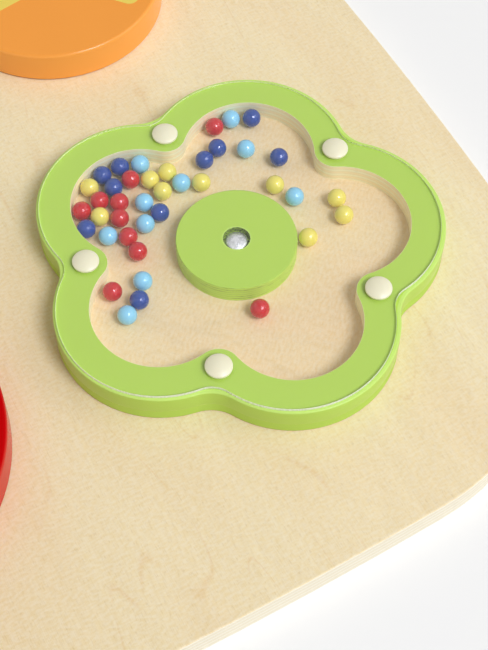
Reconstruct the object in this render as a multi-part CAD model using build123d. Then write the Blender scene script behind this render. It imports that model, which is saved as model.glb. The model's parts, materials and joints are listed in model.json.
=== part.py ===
from build123d import *
import cmath
import math
import os

# A plywood busy board that lies on its back, front face up.  On its front turn a flower-shaped
# bead wheel under a clear window, an orange disc and a red disc, each on a shoulder bolt.
# Millimetres, degrees.  The origin is under the middle of the board, on the face it rests on;
# +X runs along the board's width, +Y up its height and +Z out of its front.

# ---------------------------------------------------------------- driving dimensions: the board
board_side = 411.2              # width and height, over the middle of the bowed sides
board_thickness = 12.0
board_corner_radius = 104.0
board_bow_radius = 2000.0       # each side is a very shallow arc
board_edge_round = 0.8

# ---------------------------------------------------------------- places of the three toys
flower_place = (89.0, -66.0)
orange_place = (83.9, 107.0)
red_place = (-93.2, -76.0)
flower_rest_turn = 1.4          # how far the wheel has been left turned

# ---------------------------------------------------------------- the bead wheel
petal_count = 5
petal_spread = 44.9             # wheel centre to the centre of each petal's tray wall
petal_inner_radius = 28.2       # wall of the bead tray
petal_outer_spread = 43.9       # wheel centre to the centre of each petal's outside
petal_outer_radius = 43.5
notch_outer_radius = 15.7       # hollow between two petals, outside
screw_spread = 62.2             # wheel centre to each window screw
back_thickness = 5.0
ring_thickness = 8.5            # this is also the depth of the bead tray
hub_radius = 25.0
ring_edge_round = 0.7
hub_edge_round = 0.4
window_thickness = 1.5
window_inset = 1.7              # at the petals the window stops this far inside the ring's outline
window_notch_radius = 11.0      # its own hollow between two petals
window_shift = (-0.7, -0.3)     # it was fitted this far off the wheel's middle

# ---------------------------------------------------------------- the two plain discs
orange_radius = 51.0
red_radius = 70.0
disc_thickness = 15.0
disc_edge_round = 1.4

# ---------------------------------------------------------------- pivots
shoulder_radius = 3.4
thread_radius = 2.5
thread_length = 8.5             # below the shoulder
bolt_head_radius = 4.45
bolt_head_height = 1.9
bolt_head_rim = 0.7             # straight edge under the dome
bolt_head_sink = 0.5            # the dome's top lies this far below the painted face
head_well_radius = 5.65
washer_radius = 11.0
washer_thickness = 0.4
nut_flange_radius = 9.0
nut_flange_thickness = 1.2
nut_barrel_radius = 4.2
nut_length = 9.0
nut_sink = 0.2                  # the flange lies this far inside the board's back

# ---------------------------------------------------------------- window screws and their caps
screw_radius = 1.6
screw_head_radius = 2.7
screw_head_height = 0.9
screw_tip_cover = 1.0           # wood left under the screw's tip
cap_radius = 5.5
cap_height = 2.6
cap_rim_height = 1.0
cap_base_radius = 4.2
cap_base_thickness = 0.7

# ---------------------------------------------------------------- beads
bead_diameter = 8.0

# ---------------------------------------------------------------- clearances
turning_gap = 0.05              # shoulder in the bore of what turns on it
lift_gap = 0.05                 # under a turning piece, on its washer
head_gap = 0.15                 # under a bolt's head
fixed_gap = 0.05                # round threads, barrels and screws that don't turn
window_hole_gap = 0.3
cap_gap = 0.1                   # between a cap and what it covers
bead_gap = 0.3                  # between beads, and between a bead and a wall
bead_floor_gap = 0.05

cut_over = 1.0                  # a cutting tool reaches this far past what it cuts

# Where the beads lie: x, y from the wheel's centre with one notch pointing to +Y.
# The first ones lie apart, each free to roll by itself; the others rest in one pile.
loose_beads = {
    "bead_red_right": (23.0, 59.5),
    "bead_red_left": (-55.0, 4.5),
    "bead_red_bottom": (-7.5, -32.0),
    "bead_sky_wall": (31.0, 60.0),
    "bead_sky_right": (28.5, 42.0),
    "bead_sky_hub": (33.5, 9.5),
    "bead_sky_left": (-42.0, 3.0),
    "bead_sky_low": (-55.0, -8.5),
    "bead_navy_wall": (39.3, 55.8),
    "bead_navy_upper": (18.0, 48.5),
    "bead_navy_inner": (10.0, 45.5),
    "bead_navy_right": (38.5, 31.0),
    "bead_navy_left": (-47.5, -4.5),
    "bead_yellow_upper": (29.5, 19.0),
    "bead_yellow_right": (48.5, 0.0),
    "bead_yellow_low": (46.5, -9.0),
    "bead_yellow_hub": (27.5, -11.5),
}
piled_beads = {
    "pile_beads_red": [(-48, 47), (-39, 48), (-32, 43.5), (-36, 36), (-22.5, 52), (-37, 25.5), (-37, 17)],
    "pile_beads_sky": [(-15, 57), (-23, 38), (-27.5, 28), (-44, 30), (-4.5, 39.5)],
    "pile_beads_navy": [(-32, 60), (-23, 60), (-30, 52), (-50, 38), (-20, 30)],
    "pile_beads_yellow": [(-39.5, 56.5), (-43, 40.5), (-15.5, 48), (-7.5, 47.5), (-13.5, 39.5), (3, 35.5)],
}

# ---------------------------------------------------------------- worked-out places and heights
bead_radius = bead_diameter / 2
petal_step = 360 / petal_count
petal_angles = [90 + petal_step * (turn + 0.5) for turn in range(petal_count)]
notch_angles = [90 + petal_step * turn for turn in range(petal_count)]

board_top = board_thickness
turning_base = board_top + washer_thickness + lift_gap
tray_floor = turning_base + back_thickness
ring_top = tray_floor + ring_thickness
window_top = ring_top + window_thickness
disc_top = turning_base + disc_thickness
bore_radius = shoulder_radius + turning_gap


def polar(radius, angle):
    """A point in the plane as a complex number."""
    return cmath.rect(radius, math.radians(angle))


def xy(point):
    return (point.real, point.imag)


petal_centres = [polar(petal_spread, angle) for angle in petal_angles]
outer_petal_centres = [polar(petal_outer_spread, angle) for angle in petal_angles]
screw_places = [polar(screw_spread, angle) for angle in notch_angles]
# The land round each screw is tangent to the tray walls of the two petals beside it.
boss_radius = abs(screw_places[0] - petal_centres[0]) - petal_inner_radius


# ---------------------------------------------------------------- shape helpers
def lobed_face(lobes, lobe_radius, notch_centre, notch_radius):
    """Closed outline of convex petal arcs joined by tangent notch arcs."""
    edges = []
    for turn in range(petal_count):
        before = polar(notch_centre, notch_angles[turn])
        lobe = lobes[turn]
        after = polar(notch_centre, notch_angles[turn] + petal_step)
        start = lobe + (before - lobe) * lobe_radius / abs(before - lobe)
        end = lobe + (after - lobe) * lobe_radius / abs(after - lobe)
        tip = lobe * (1 + lobe_radius / abs(lobe))
        edges.append(ThreePointArc(xy(start), xy(tip), xy(end)))
        valley = after * (1 - notch_radius / abs(after))
        next_lobe = lobes[(turn + 1) % petal_count]
        next_start = next_lobe + (after - next_lobe) * lobe_radius / abs(after - next_lobe)
        edges.append(ThreePointArc(xy(end), xy(valley), xy(next_start)))
    return make_face(edges)


def outer_lobed_face(lobe_radius, notch_radius):
    """The outside of the wheel or of its window, with arcs of the given radii."""
    half_gap = petal_outer_spread * math.sin(math.radians(petal_step / 2))
    along = petal_outer_spread * math.cos(math.radians(petal_step / 2))
    reach = lobe_radius + notch_radius
    notch_centre = along + math.sqrt(reach ** 2 - half_gap ** 2)
    return lobed_face(outer_petal_centres, lobe_radius, notch_centre, notch_radius)


def wheel_face():
    return outer_lobed_face(petal_outer_radius, notch_outer_radius)


def board_face():
    """A square with gently bowed sides and large corners, all arcs tangent."""
    half = board_side / 2
    bow_centre = half - board_bow_radius
    # the corner arc's centre (m, m) lies inside the bow arc by the difference of the radii
    inside = board_bow_radius - board_corner_radius
    m = (bow_centre + math.sqrt(2 * inside ** 2 - bow_centre ** 2)) / 2
    corner = complex(m, m)
    away = (corner - bow_centre) / abs(corner - bow_centre)
    side_end = corner + away * board_corner_radius
    edges = []
    for turn in (1, 1j, -1, -1j):
        start, middle, end = side_end.conjugate() * turn, half * turn, side_end * turn
        edges.append(ThreePointArc(xy(start), xy(middle), xy(end)))
        peak = corner * (1 + board_corner_radius / abs(corner)) * turn
        next_start = complex(side_end.imag, side_end.real) * turn
        edges.append(ThreePointArc(xy(end), xy(peak), xy(next_start)))
    return make_face(edges)


def turned(edges):
    """A solid of revolution about Z; the edges are drawn as (radius, height)."""
    return revolve(Plane.XZ * make_face(edges), axis=Axis.Z)


def dome(rim_radius, rim_height, top_height):
    """The arc of a shallow dome, from its rim to its top on the axis."""
    rise = top_height - rim_height
    ball_radius = (rim_radius ** 2 + rise ** 2) / (2 * rise)
    half = rim_radius / 2
    half_height = top_height - ball_radius + math.sqrt(ball_radius ** 2 - half ** 2)
    return ThreePointArc((rim_radius, rim_height), (half, half_height), (0, top_height))


def post(radius, bottom, top):
    """A round bar about Z between two heights."""
    return Pos(0, 0, bottom) * extrude(Circle(radius), amount=top - bottom)


def rounded_top(solid, radius):
    """Round the outer edge of the top face."""
    return fillet(solid.faces().sort_by(Axis.Z)[-1].outer_wire().edges(), radius)


def on_wheel(shape):
    """Move a shape from the wheel's own axes to its place on the board."""
    return Pos(*flower_place, 0) * Rot(0, 0, flower_rest_turn) * shape


def at_screws(make):
    """One copy of a small part at each window screw, placed on the wheel."""
    return [on_wheel(Pos(*xy(place), 0) * make()) for place in screw_places]


# ---------------------------------------------------------------- the board
def board_panel():
    panel = extrude(board_face(), amount=board_thickness)
    panel = rounded_top(panel, board_edge_round)
    barrel_top = nut_sink + nut_length + fixed_gap
    for place in (flower_place, orange_place, red_place):
        hole = post(thread_radius + fixed_gap, -cut_over, board_top + cut_over)
        hole += post(nut_barrel_radius + fixed_gap, -cut_over, barrel_top)
        hole += post(nut_flange_radius + fixed_gap, -cut_over, nut_sink + nut_flange_thickness)
        panel -= Pos(*place, 0) * hole
    return panel


# ---------------------------------------------------------------- pivots
def pivot_bolt(face_height):
    """Shoulder bolt with a domed head that lies sunk below the painted face."""
    head_top = face_height - bolt_head_sink
    head_bottom = head_top - bolt_head_height
    rim_top = head_bottom + bolt_head_rim
    thread_end = board_top - thread_length
    outline = Polyline(
        (0, head_top),
        (0, thread_end),
        (thread_radius, thread_end),
        (thread_radius, board_top),
        (shoulder_radius, board_top),
        (shoulder_radius, head_bottom),
        (bolt_head_radius, head_bottom),
        (bolt_head_radius, rim_top),
    )
    return turned(outline.edges() + [dome(bolt_head_radius, rim_top, head_top)])


def head_well(face_height):
    """The bore for the shoulder and the wider well for the head, as a cutting tool."""
    well_floor = face_height - bolt_head_sink - bolt_head_height - head_gap
    over = face_height + cut_over
    return post(bore_radius, 0, over) + post(head_well_radius, well_floor, over)


def thrust_washer():
    ring = Circle(washer_radius) - Circle(shoulder_radius + fixed_gap)
    return Pos(0, 0, board_top) * extrude(ring, amount=washer_thickness)


def flanged_nut():
    flange_top = nut_sink + nut_flange_thickness
    nut = post(nut_flange_radius, nut_sink, flange_top)
    nut += post(nut_barrel_radius, nut_sink, nut_sink + nut_length)
    return nut - post(thread_radius + fixed_gap, 0, board_top)


# ---------------------------------------------------------------- the bead wheel
def flower_back():
    plate = extrude(wheel_face(), amount=back_thickness)
    plate = Pos(0, 0, turning_base) * plate
    plate -= head_well(ring_top)
    pilot = post(screw_radius + fixed_gap, turning_base + screw_tip_cover, tray_floor + cut_over)
    for place in screw_places:
        plate -= Pos(*xy(place), 0) * pilot
    return on_wheel(plate)


def flower_ring():
    ring = Pos(0, 0, tray_floor) * extrude(wheel_face(), amount=ring_thickness)
    ring = rounded_top(ring, ring_edge_round)
    tray = lobed_face(petal_centres, petal_inner_radius, screw_spread, boss_radius)
    ring -= Pos(0, 0, tray_floor - cut_over) * extrude(tray, amount=ring_thickness + 2 * cut_over)
    for place in screw_places:
        ring -= Pos(*xy(place), 0) * post(screw_radius + fixed_gap, 0, ring_top + cut_over)
    return on_wheel(ring)


def hub_disc():
    hub = rounded_top(post(hub_radius, tray_floor, ring_top), hub_edge_round)
    return on_wheel(hub - head_well(ring_top))


def window():
    outline = outer_lobed_face(petal_outer_radius - window_inset, window_notch_radius)
    sheet = Pos(*window_shift, ring_top) * extrude(outline, amount=window_thickness)
    for place in screw_places:
        sheet -= Pos(*xy(place), 0) * post(screw_radius + window_hole_gap, 0, window_top + cut_over)
    return on_wheel(sheet)


def cap_base():
    ring = Circle(cap_base_radius) - Circle(screw_radius + window_hole_gap)
    return Pos(0, 0, window_top) * extrude(ring, amount=cap_base_thickness)


def window_screw():
    head_bottom = window_top + cap_base_thickness
    shank_end = turning_base + screw_tip_cover + fixed_gap
    tip = post(screw_radius, shank_end, head_bottom)
    tip = chamfer(tip.edges().sort_by(Axis.Z)[0], screw_radius / 2)
    head = post(screw_head_radius, head_bottom, head_bottom + screw_head_height)
    return tip + rounded_top(head, screw_head_height / 3)


def screw_cap():
    """Domed cover, hollow over the screw head and its base ring."""
    recess = cap_base_radius + cap_gap
    recess_top = cap_base_thickness + cap_gap
    well = screw_head_radius + cap_gap
    well_top = recess_top + screw_head_height
    outline = Polyline(
        (0, cap_height),
        (0, well_top),
        (well, well_top),
        (well, recess_top),
        (recess, recess_top),
        (recess, 0),
        (cap_radius, 0),
        (cap_radius, cap_rim_height),
    )
    skin = turned(outline.edges() + [dome(cap_radius, cap_rim_height, cap_height)])
    return Pos(0, 0, window_top) * skin


# ---------------------------------------------------------------- the plain discs
def turning_disc(radius):
    disc = post(radius, turning_base, disc_top)
    disc = rounded_top(disc, disc_edge_round)
    disc = chamfer(disc.faces().sort_by(Axis.Z)[0].outer_wire().edges(), disc_edge_round / 3)
    return disc - head_well(disc_top)


# ---------------------------------------------------------------- the beads
def inside_tray(spot):
    """The nearest place to spot where a bead touches neither hub, screw land nor petal wall."""
    reach = bead_radius + bead_gap
    if abs(spot) < hub_radius + reach:
        spot *= (hub_radius + reach) / abs(spot)
    for boss in screw_places:
        away = spot - boss
        if abs(away) < boss_radius + reach:
            spot = boss + away * (boss_radius + reach) / abs(away)
    petal = min(petal_centres, key=lambda centre: abs(spot - centre))
    away = spot - petal
    wall_ends = min(abs(cmath.phase((boss - petal) / petal)) for boss in screw_places)
    faces_wall = abs(cmath.phase(away / petal)) < wall_ends
    if faces_wall and abs(away) > petal_inner_radius - reach:
        spot = petal + away * (petal_inner_radius - reach) / abs(away)
    return spot


def settled(places):
    """Shake the beads apart until none touches another or a wall."""
    pitch = bead_diameter + bead_gap
    spots = [complex(*place) for place in places]
    for shake in range(300):
        for one in range(len(spots)):
            for other in range(one):
                apart = spots[one] - spots[other]
                push = max(0.0, pitch - abs(apart)) / 2 * apart / abs(apart)
                spots[one] += push
                spots[other] -= push
            spots[one] = inside_tray(spots[one])
    return spots


def bead(spot):
    return on_wheel(Pos(*xy(spot), tray_floor + bead_floor_gap + bead_radius) * Sphere(bead_radius))


def bead_nodes():
    """Every loose bead as its own node, and the pile as one node for each colour."""
    places = list(loose_beads.values()) + [spot for pile in piled_beads.values() for spot in pile]
    spots = iter(settled(places))
    nodes = {name: [bead(next(spots))] for name in loose_beads}
    for name, pile in piled_beads.items():
        nodes[name] = [bead(next(spots)) for _ in pile]
    return nodes


# ---------------------------------------------------------------- all pieces, and their files
nodes = {
    "board_panel": [board_panel()],
    "flower_back": [flower_back()],
    "flower_ring": [flower_ring()],
    "flower_hub_disc": [hub_disc()],
    "flower_window": [window()],
    "window_cap_bases": at_screws(cap_base),
    "window_screws": at_screws(window_screw),
    "orange_disc": [Pos(*orange_place, 0) * turning_disc(orange_radius)],
    "red_disc": [Pos(*red_place, 0) * turning_disc(red_radius)],
}
for number, cap in enumerate(at_screws(screw_cap), start=1):
    nodes[f"window_cap_{number}"] = [cap]
pivots = {
    "flower": (flower_place, ring_top),
    "orange": (orange_place, disc_top),
    "red": (red_place, disc_top),
}
for toy, (place, face_height) in pivots.items():
    nodes[f"{toy}_pivot_bolt"] = [Pos(*place, 0) * pivot_bolt(face_height)]
    nodes[f"{toy}_washer"] = [Pos(*place, 0) * thrust_washer()]
    nodes[f"{toy}_flanged_nut"] = [Pos(*place, 0) * flanged_nut()]
nodes.update(bead_nodes())

os.makedirs("parts", exist_ok=True)
for name, pieces in nodes.items():
    solids = [solid for piece in pieces for solid in piece.solids()]
    shape = solids[0] if len(solids) == 1 else Compound(solids)
    export_step(shape, f"parts/{name}.step")
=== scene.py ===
import cmath
import json
import math

import bpy
from bpy.props import FloatProperty, FloatVectorProperty, IntProperty, PointerProperty
from bpy.types import Operator, Panel, PropertyGroup
from mathutils import Matrix, Vector


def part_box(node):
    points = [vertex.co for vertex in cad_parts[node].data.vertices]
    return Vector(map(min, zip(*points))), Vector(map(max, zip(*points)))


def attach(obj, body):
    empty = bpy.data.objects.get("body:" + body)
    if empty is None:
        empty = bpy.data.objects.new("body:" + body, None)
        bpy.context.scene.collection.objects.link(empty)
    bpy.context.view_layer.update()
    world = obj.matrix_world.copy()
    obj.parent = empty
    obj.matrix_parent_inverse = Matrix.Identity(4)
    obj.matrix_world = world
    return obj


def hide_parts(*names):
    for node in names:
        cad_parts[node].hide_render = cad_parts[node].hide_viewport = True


bl_info = {
    "name": "Busy Board",
    "version": (1, 0, 0),
    "blender": (4, 5, 0),
    "location": "View3D > Sidebar > Busy Board",
    "description": "Finishes a wooden busy board with a bead wheel and two spinning discs",
    "category": "Add Mesh",
}

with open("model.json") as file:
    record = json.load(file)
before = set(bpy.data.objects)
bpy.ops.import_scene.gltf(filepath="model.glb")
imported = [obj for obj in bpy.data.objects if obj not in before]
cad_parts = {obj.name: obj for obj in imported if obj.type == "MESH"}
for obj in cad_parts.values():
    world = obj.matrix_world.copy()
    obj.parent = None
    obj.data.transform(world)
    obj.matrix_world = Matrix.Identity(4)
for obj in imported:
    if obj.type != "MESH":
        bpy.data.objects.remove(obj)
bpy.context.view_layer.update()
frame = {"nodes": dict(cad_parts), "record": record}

MM = 0.001


# ---------------------------------------------------------------- colours and places
def srgb(red, green, blue):
    """A colour as a screen shows it, 0 to 255, turned into Blender's linear numbers."""
    shares = (value / 255 for value in (red, green, blue))
    return tuple(s / 12.92 if s <= 0.04045 else ((s + 0.055) / 1.055) ** 2.4 for s in shares)


def middle(node):
    """Centre of a CAD node's box."""
    low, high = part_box(node)
    return (low + high) / 2


def top_of(node):
    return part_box(node)[1].z


def bottom_of(node):
    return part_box(node)[0].z


def radius_of(node):
    """Radius of a round CAD node."""
    low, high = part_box(node)
    return (high.x - low.x) / 2


def tuples(*colours):
    """Colours of the settings as plain tuples."""
    return [tuple(colour) for colour in colours]


def colour_property(name, description, default):
    return FloatVectorProperty(
        name=name, description=description, default=default, subtype="COLOR", size=3, min=0, max=1
    )


def length_property(name, description, default):
    return FloatProperty(
        name=name, description=description, default=default, unit="LENGTH", precision=5, min=0
    )


def share_property(name, description, default):
    return FloatProperty(
        name=name, description=description, default=default, subtype="FACTOR", min=0, max=1
    )


# ---------------------------------------------------------------- what a user would change
class WoodSettings(PropertyGroup):
    veneer: colour_property("Veneer", "Board face between the fibres", srgb(247, 229, 185))
    veneer_warm: colour_property("Warm veneer", "Pinkish patches of the face", srgb(245, 222, 176))
    fibre: colour_property("Fibre", "Fine darker fibres and pores", srgb(216, 191, 142))
    figure: colour_property("Figure", "Thin wavy growth lines", srgb(226, 184, 120))
    floor: colour_property("Tray floor", "Bare veneer of the bead tray", srgb(240, 216, 164))
    floor_warm: colour_property("Warm floor", "Pinkish patches of the floor", srgb(239, 209, 159))
    ply_pale: colour_property("Pale ply", "Long-grain layers in a cut edge", srgb(246, 240, 222))
    ply_dark: colour_property("Dark ply", "End-grain layers in a cut edge", srgb(236, 224, 194))
    # The tray walls take lighter, yellower copies of the ply edge colours: painted light that lifts
    # the shade inside the tray and stands in for light bounced off wood and paint.
    lightened_wall_pale: colour_property("Pale wall", "Long-grain layers round the tray", srgb(255, 252, 216))
    lightened_wall_dark: colour_property("Dark wall", "End-grain layers round the tray", srgb(255, 238, 188))
    ply: length_property("Ply", "Thickness of one layer", 1.4 * MM)


class WheelSettings(PropertyGroup):
    petals: IntProperty(name="Petals", description="Petals of the wheel", default=5, min=3)
    tray_spread: length_property("Tray spread", "Wheel centre to a tray wall's centre", 44.9 * MM)
    tray_radius: length_property("Tray radius", "Inner wall of a petal", 28.2 * MM)
    petal_spread: length_property("Petal spread", "Wheel centre to a petal's centre", 43.9 * MM)
    petal_radius: length_property("Petal radius", "Outer wall of a petal", 43.5 * MM)
    hollow_radius: length_property("Hollow radius", "Outside hollow between petals", 15.7 * MM)
    screw_spread: length_property("Screw spread", "Wheel centre to each screw", 62.2 * MM)
    rest_turn: FloatProperty(
        name="Rest turn", description="How far the wheel has been turned",
        default=math.radians(1.4), subtype="ANGLE",
    )
    lip_round: length_property("Lip round", "Rounding of the ring's outer top edge", 0.7 * MM)
    inner_round: length_property("Inner round", "Softening of the ring's inner edges", 0.06 * MM)
    window_inset: length_property("Window inset", "Green lip left outside the window", 1.7 * MM)
    window_hollow: length_property("Window hollow", "The window's hollow between petals", 11 * MM)
    window_bevel: length_property("Window bevel", "Broken edge of the clear sheet", 0.04 * MM)
    arc_step: length_property("Arc step", "Length of one straight bit of an arc", 1.5 * MM)


class PaintSettings(PropertyGroup):
    # Green and green side are copies of one paint: the faces under the window are set a little
    # darker and less blue, painted shade that offsets the window's reflection.
    green: colour_property("Green", "Wheel's flat faces, under the window", srgb(184, 218, 89))
    green_side: colour_property("Green side", "Wheel's outside", srgb(187, 221, 97))
    # The green lip colour is a painted highlight on the rounded outer edge, lighter where the edge
    # catches the light.
    green_lip_highlight: colour_property("Green lip", "Thinner paint on the outer edge", srgb(202, 234, 124))
    orange: colour_property("Orange", "Upper disc", srgb(250, 162, 68))
    # The disc side colours are lighter copies of the disc paints: painted light and painted sheen
    # on the upright faces.
    orange_sheen_side: colour_property("Orange side", "Upper disc's upright face", srgb(255, 170, 76))
    red: colour_property("Red", "Lower disc", srgb(193, 0, 4))
    red_sheen_side: colour_property("Red side", "Lower disc's upright face", srgb(208, 52, 44))
    print_yellow: colour_property("Print", "Pinwheel on the upper disc", srgb(238, 212, 100))
    roughness: share_property("Roughness", "Of the green paint", 0.3)


class BeadSettings(PropertyGroup):
    red: colour_property("Red", "Red beads", srgb(204, 2, 20))
    sky: colour_property("Sky", "Light blue beads", srgb(142, 211, 245))
    navy: colour_property("Navy", "Dark blue beads", srgb(26, 68, 154))
    yellow: colour_property("Yellow", "Yellow beads", srgb(242, 228, 104))
    roughness: share_property("Roughness", "Of the lacquer", 0.2)
    segments: IntProperty(name="Segments", description="Round a bead", default=48, min=8)


class FittingSettings(PropertyGroup):
    cap: colour_property("Cap", "Screw caps", srgb(242, 237, 208))
    steel: colour_property("Steel", "Bolt heads", (0.78, 0.79, 0.81))
    zinc: colour_property("Zinc", "Nuts, washers and screws", (0.5, 0.5, 0.52))
    segments: IntProperty(name="Segments", description="Round a turned piece", default=64, min=8)


class StageSettings(PropertyGroup):
    floor: colour_property("Floor", "Floor and background", srgb(246, 246, 246))
    key_level: share_property("Key", "Light from the key lamp", 0.475)
    fill_level: share_property("Side fill", "Light from the side lamp", 0.095)
    sky_level: share_property("Surround", "Light from all round", 0.405)


# ---------------------------------------------------------------- node helpers
def wire(tree, node, values):
    """Give a node its inputs: a value that is a socket is linked, any other is set."""
    for name, value in values.items():
        if isinstance(value, bpy.types.NodeSocket):
            tree.links.new(value, node.inputs[name])
        else:
            node.inputs[name].default_value = value


def add(tree, kind, values=None, **settings):
    """Put a node in a tree, with its settings and its inputs."""
    node = tree.nodes.new(kind)
    for name, setting in settings.items():
        setattr(node, name, setting)
    wire(tree, node, values or {})
    return node


def out(tree, kind, values=None, **settings):
    """First output of a new node."""
    return add(tree, kind, values, **settings).outputs[0]


def calculate(tree, operation, *values):
    """Output of a Math node, in a shader tree or a geometry tree."""
    return out(tree, "ShaderNodeMath", dict(enumerate(values)), operation=operation)


def plus(tree, first, second):
    """Like minus and times: a Math node by its plain name."""
    return calculate(tree, "ADD", first, second)


def minus(tree, first, second):
    return calculate(tree, "SUBTRACT", first, second)


def times(tree, first, second):
    return calculate(tree, "MULTIPLY", first, second)


def vector(tree, **parts):
    """A vector from its X, Y and Z."""
    return out(tree, "ShaderNodeCombineXYZ", parts)


def part_of(tree, place, axis):
    """One part of a vector."""
    return add(tree, "ShaderNodeSeparateXYZ", {0: place}).outputs[axis]


# ---------------------------------------------------------------- shader helpers
def new_material(name):
    """A material with a Principled node and an output, and its tree."""
    material = bpy.data.materials.new(name)
    material.use_nodes = True
    tree = material.node_tree
    tree.nodes.clear()
    surface = add(tree, "ShaderNodeBsdfPrincipled")
    add(tree, "ShaderNodeOutputMaterial", {"Surface": surface.outputs[0]})
    return material, tree, surface


def shown(tree, shader):
    """Make a shader the one that the material shows."""
    output = next(node for node in tree.nodes if node.type == "OUTPUT_MATERIAL")
    wire(tree, output, {"Surface": shader})


def surfaced(tree, surface, values, height, depth):
    """Give a shader its inputs and a relief of the given depth in metres."""
    relief = {"Height": height, "Distance": depth, "Strength": 1.0}
    wire(tree, surface, {**values, "Normal": out(tree, "ShaderNodeBump", relief)})


def own_place(tree, kind="Object"):
    """Place of the shaded point on its object, or another of its coordinates."""
    return add(tree, "ShaderNodeTexCoord").outputs[kind]


def mottle(tree, size, turn=0.0, shift=(0, 0, 0), detail=2.0, distortion=0.0):
    """Noise whose patches have the given size in metres along each axis."""
    sizes = {"Vector": own_place(tree), "Location": shift, "Rotation": (0, 0, turn), "Scale": size}
    place = out(tree, "ShaderNodeMapping", sizes, vector_type="TEXTURE")
    values = {"Vector": place, "Scale": 1.0, "Detail": detail, "Distortion": distortion}
    return add(tree, "ShaderNodeTexNoise", values).outputs["Fac"]


def spots(tree, size, detail):
    """Noise in round patches of one size."""
    return mottle(tree, (size, size, size), detail=detail)


def spread(tree, value, low, high, to_low=0.0, to_high=1.0):
    """Stretch a part of a value's range, with soft ends."""
    values = {0: value, 1: low, 2: high, 3: to_low, 4: to_high}
    return out(tree, "ShaderNodeMapRange", values, interpolation_type="SMOOTHSTEP")


def mixed(tree, share, first, second):
    """Output of a colour mix; a colour may be a tuple or a socket."""
    colours = [c if isinstance(c, bpy.types.NodeSocket) else (*c, 1.0) for c in (first, second)]
    values = {0: share, 6: colours[0], 7: colours[1]}
    return add(tree, "ShaderNodeMix", values, data_type="RGBA").outputs[2]


def tinted(tree, colour, *tints):
    """Mix tones into a colour one after another, each as (share, strength, tone)."""
    for share, strength, tone in tints:
        colour = mixed(tree, times(tree, share, strength), colour, tone)
    return colour


def scaled(colour, factor):
    """A colour made darker or lighter."""
    return tuple(factor * value for value in colour)


def height_above(tree, bottom):
    """Distance above a level, as a socket."""
    return minus(tree, part_of(tree, own_place(tree), "Z"), bottom)


def flatness(tree, low=0.45, high=0.75):
    """1 where a face lies flat, 0 where it stands upright."""
    level = part_of(tree, own_place(tree, "Normal"), "Z")
    return spread(tree, calculate(tree, "ABSOLUTE", level), low, high)


# ---------------------------------------------------------------- wood
def veneer_colour(tree, base, warm, fibre, figure, turn, shift=(0, 0, 0), left_shade=0.0):
    """Sliced birch: warm patches, curl, fine fibres, short pores and thin growth lines.

    A painted shade darkens it slowly towards the board's left, where less light falls."""

    def grain(size, low, high, detail, distortion=0.0, place=shift):
        return spread(tree, mottle(tree, size, turn, place, detail, distortion), low, high)

    patches = grain((0.05, 0.12, 1), 0.35, 0.65, 1.0)
    flame = grain((0.011, 0.11, 1), 0.3, 0.7, 2.0, 0.6)
    fibres = grain((0.5 * MM, 7 * MM, 1), 0.35, 0.75, 2.0)
    pores = grain((0.45 * MM, 2.6 * MM, 1), 0.66, 0.76, 0.0, place=(0.3, 0.1, 0))
    curl = grain((2.4 * MM, 1.1 * MM, 1), 0.3, 0.7, 3.0)
    broken = grain((0.01, 0.03, 1), 0.42, 0.62, 1.0, place=(0.2, 0.3, 0))
    rings = mottle(tree, (0.034, 0.16, 1), turn, (0.11, 0.05, 0), 1.0, 0.5)
    rings = calculate(tree, "ABSOLUTE", minus(tree, rings, 0.5))
    lines = times(tree, spread(tree, rings, 0.0, 0.009, 1.0, 0.0), broken)
    # painted shade: the veneer grows darker towards the board's left, where less light falls
    shade_to_left = spread(tree, part_of(tree, own_place(tree), "X"), -0.15, 0.16, 1.0, 0.0)
    colour = tinted(
        tree, mixed(tree, patches, base, warm),
        (shade_to_left, left_shade, fibre), (flame, 0.15, fibre), (lines, 0.32, figure),
        (fibres, 0.24, fibre), (pores, 0.36, fibre),
    )
    lifted = mixed(tree, 0.22, colour, (1, 1, 1))
    return tinted(tree, colour, (curl, 0.9, lifted)), fibres


def layer_joint(tree, layer, low):
    """1 at the joints between layers, from a count of layers that grows with height."""
    off_middle = minus(tree, calculate(tree, "FRACT", layer), 0.5)
    return spread(tree, calculate(tree, "ABSOLUTE", off_middle), low, 0.5)


def ply_colour(tree, bottom, pale, dark, ply):
    """Layers in a cut edge: each with its own tone, a thin glue line and cut fibres."""
    layer = calculate(tree, "DIVIDE", height_above(tree, bottom), ply)
    drift = mottle(tree, (0.03, 0.03, 1), detail=1.0)
    layer = plus(tree, layer, times(tree, drift, 0.35))
    odd = calculate(tree, "MODULO", calculate(tree, "FLOOR", layer), 2.0)
    glue = layer_joint(tree, layer, 0.4)
    long_fibres = mottle(tree, (12 * MM, 12 * MM, 0.25 * MM), detail=2.0)
    end_grain = mottle(tree, (0.7 * MM, 0.7 * MM, 0.5 * MM), detail=2.0)
    cut = out(tree, "ShaderNodeMix", {0: odd, 2: long_fibres, 3: end_grain})
    tone = spread(tree, cut, 0.3, 0.75)
    flecks = spread(tree, mottle(tree, (5 * MM, 5 * MM, 0.5 * MM), shift=(0.2, 0.1, 0)), 0.72, 0.8)
    brown = srgb(150, 110, 84)
    colour = tinted(
        tree, pale, (odd, 0.65, dark), (tone, 0.35, dark), (glue, 0.5, scaled(dark, 0.7)),
        (flecks, 0.6, brown),
    )
    return colour, minus(tree, times(tree, cut, 0.5), glue)


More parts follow.
